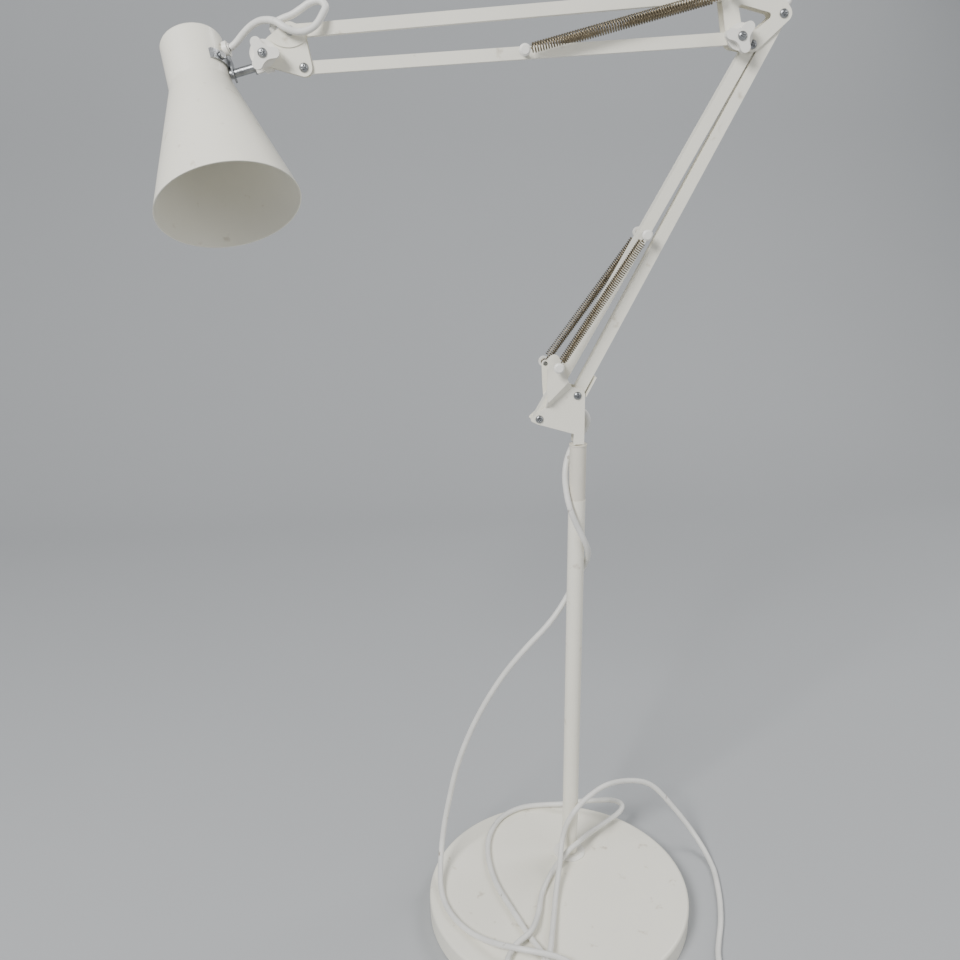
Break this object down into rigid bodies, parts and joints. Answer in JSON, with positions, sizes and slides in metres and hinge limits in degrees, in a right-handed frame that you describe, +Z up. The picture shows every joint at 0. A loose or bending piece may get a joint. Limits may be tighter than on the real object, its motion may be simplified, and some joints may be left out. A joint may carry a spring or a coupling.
{
  "type": "adjustable arm floor lamp",
  "caption": "Spring-balanced arm lamp on a pole and round weighted base, with a tilting cone shade and a loose mains cord.",
  "frame": {"origin": "centre of the underside of the round base, on the floor", "axes": "+Z up, +X to the right and -Y towards the viewer in the view where the arm lies in the XZ plane and the shade hangs to the left"},
  "size_m": [0.5114, 0.3386, 0.8728],
  "materials": {
    "cream_paint": "satin",
    "zinc": "satin",
    "spring_steel": "satin",
    "white_plastic": "satin",
    "beige_plastic": "satin",
    "foam": "matte",
    "iron": "matte",
    "opal_glass": "satin",
    "cord_pvc": "satin"
  },
  "bodies": {
    "stand": {"base_pad": "foam", "base_weight": "iron", "base_cover": "cream_paint", "pole_bolt": "zinc", "pole_washer": "zinc", "pole_collar": "white_plastic", "pole_plug": "zinc", "pole": "cream_paint", "pole_sleeve": "beige_plastic", "free_cord": "cord_pvc", "cord_coil": "cord_pvc", "plug_body": "white_plastic", "plug_pins": "zinc"},
    "bracket": {"swivel_stem": "cream_paint", "bracket_front_plate": "cream_paint", "bracket_rear_plate": "cream_paint", "bracket_stop": "cream_paint", "bracket_spacer": "zinc", "bracket_screws": "zinc", "bracket_posts": "zinc", "bracket_post_caps": "white_plastic", "lower_springs": "spring_steel"},
    "lower_arm": {"lower_main_bar": "cream_paint", "lower_cord_grommet": "white_plastic"},
    "lower_link": {"lower_link_bar": "cream_paint", "link_post": "zinc", "link_post_caps": "white_plastic"},
    "elbow": {"elbow_front_plate": "cream_paint", "elbow_rear_plate": "cream_paint", "elbow_spacer": "zinc", "elbow_screws": "zinc", "elbow_anchor_pins": "zinc", "elbow_clamp_screw": "zinc", "upper_springs": "spring_steel", "elbow_cord": "cord_pvc"},
    "elbow_knob": {"elbow_knob": "white_plastic"},
    "upper_arm": {"upper_main_bar": "cream_paint", "upper_post": "zinc", "upper_post_caps": "white_plastic"},
    "upper_link": {"upper_link_bar": "cream_paint"},
    "head_bracket": {"head_front_plate": "cream_paint", "head_rear_plate": "cream_paint", "head_spacer": "zinc", "head_screws": "zinc", "head_clamp_screw": "zinc", "head_cord": "cord_pvc"},
    "head_knob": {"head_knob": "white_plastic"},
    "knuckle": {"knuckle": "white_plastic", "swivel_rod": "zinc", "rod_sleeve": "zinc"},
    "shade": {"shade_strap": "zinc", "shade": "cream_paint", "strap_screw": "zinc", "cord_gland": "white_plastic", "lampholder": "white_plastic", "bulb": "opal_glass", "switch_body": "white_plastic"},
    "switch_button": {"switch_button": "white_plastic"}
  },
  "joints": [
    {"name": "pole_swivel", "type": "hinge", "parent": "stand", "child": "bracket", "pos_m": [0.0205, 0.051, 0.483], "axis": [0, 0, 1], "range_deg": [-170, 170], "deforming": ["free_cord"]},
    {"name": "lower_arm_pivot", "type": "hinge", "parent": "bracket", "child": "lower_arm", "pos_m": [0.0177, 0.051, 0.5305], "axis": [0, -1, 0], "range_deg": [0, 40], "deforming": ["free_cord", "lower_springs", "elbow_cord"]},
    {"name": "lower_link_pivot", "type": "hinge", "parent": "bracket", "child": "lower_link", "pos_m": [-0.0168, 0.051, 0.5097], "axis": [0, -1, 0], "range_deg": [0, 42]},
    {"name": "elbow_pivot", "type": "hinge", "parent": "lower_arm", "child": "elbow", "pos_m": [0.18033, 0.051, 0.84291], "axis": [0, -1, 0], "range_deg": [-56, 0]},
    {"name": "elbow_knob_turn", "type": "hinge", "parent": "elbow", "child": "elbow_knob", "pos_m": [0.14243, 0.035, 0.825], "axis": [0, -1, 0], "range_deg": [-180, 180]},
    {"name": "upper_arm_pivot", "type": "hinge", "parent": "elbow", "child": "upper_arm", "pos_m": [0.14243, 0.051, 0.825], "axis": [0, -1, 0], "range_deg": [-20, 40], "deforming": ["upper_springs", "elbow_cord", "head_cord"]},
    {"name": "upper_link_pivot", "type": "hinge", "parent": "elbow", "child": "upper_link", "pos_m": [0.13343, 0.051, 0.85801], "axis": [0, -1, 0], "range_deg": [-21, 41]},
    {"name": "head_pivot", "type": "hinge", "parent": "upper_arm", "child": "head_bracket", "pos_m": [-0.20719, 0.051, 0.80485], "axis": [0, -1, 0], "range_deg": [-50, 25]},
    {"name": "head_knob_turn", "type": "hinge", "parent": "head_bracket", "child": "head_knob", "pos_m": [-0.23719, 0.035, 0.81455], "axis": [0, -1, 0], "range_deg": [-180, 180]},
    {"name": "head_tilt", "type": "hinge", "parent": "head_bracket", "child": "knuckle", "pos_m": [-0.23719, 0.051, 0.81455], "axis": [0, -1, 0], "range_deg": [-40, 25], "deforming": ["head_cord"]},
    {"name": "shade_swivel", "type": "hinge", "parent": "knuckle", "child": "shade", "pos_m": [-0.26236, 0.051, 0.80133], "axis": [0.9673, 0, 0.2538], "range_deg": [-40, 60], "deforming": ["head_cord"]},
    {"name": "switch_press", "type": "slide", "parent": "shade", "child": "switch_button", "axis": [0.2086, -0.5693, -0.7952], "range_m": [0, 0.002], "stiffness_N_per_m": 400, "springref_m": -0.002}
  ],
  "couplings": [
    {"joint": "lower_link_pivot", "follows": "lower_arm_pivot", "ratio": 1.02},
    {"joint": "elbow_pivot", "follows": "lower_arm_pivot", "ratio": -1.38},
    {"joint": "upper_link_pivot", "follows": "upper_arm_pivot", "ratio": 1},
    {"joint": "head_pivot", "follows": "upper_arm_pivot", "ratio": -1.235}
  ]
}
